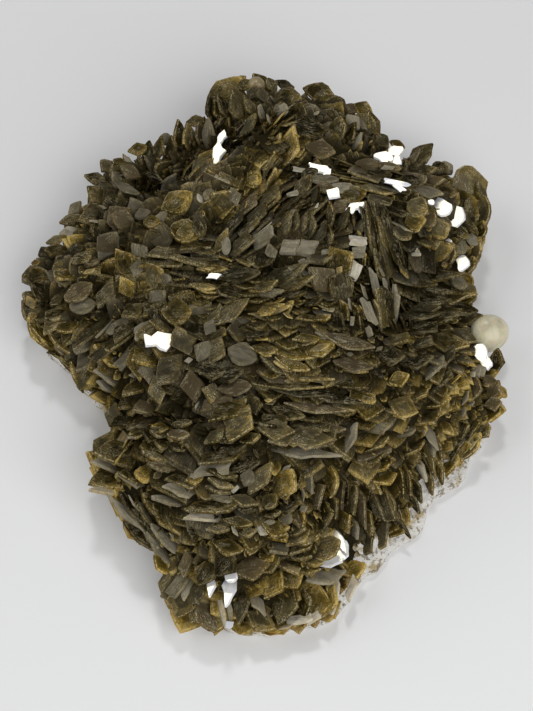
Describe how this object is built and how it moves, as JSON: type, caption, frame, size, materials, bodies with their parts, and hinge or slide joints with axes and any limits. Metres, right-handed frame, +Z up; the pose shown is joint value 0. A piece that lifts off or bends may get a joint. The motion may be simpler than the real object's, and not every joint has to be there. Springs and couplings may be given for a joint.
{
  "type": "siderite specimen",
  "caption": "Mineral specimen: a domed crust of overlapping rhombic siderite blades on a pale matrix with a flat base and a few rounded pale crystals.",
  "frame": {"origin": "middle of the flat underside of the matrix", "axes": "+Z up, out of the flat base; +Y along the specimen's long way, from the thin edge to the thick edge; +X across it"},
  "size_m": [0.101, 0.1209, 0.0309],
  "materials": {
    "siderite": "dark olive-brown crystal with a vitreous to pearly shine and golden translucent edges",
    "matrix": "white to cream granular rock, matt with fine sparkle",
    "pale_crystal": "cream translucent crystal, smooth and waxy"
  },
  "bodies": {
    "root": {"siderite_cluster": "siderite", "matrix": "matrix", "pale_crystal_right": "pale_crystal", "pale_crystal_top": "pale_crystal"}
  },
  "joints": []
}
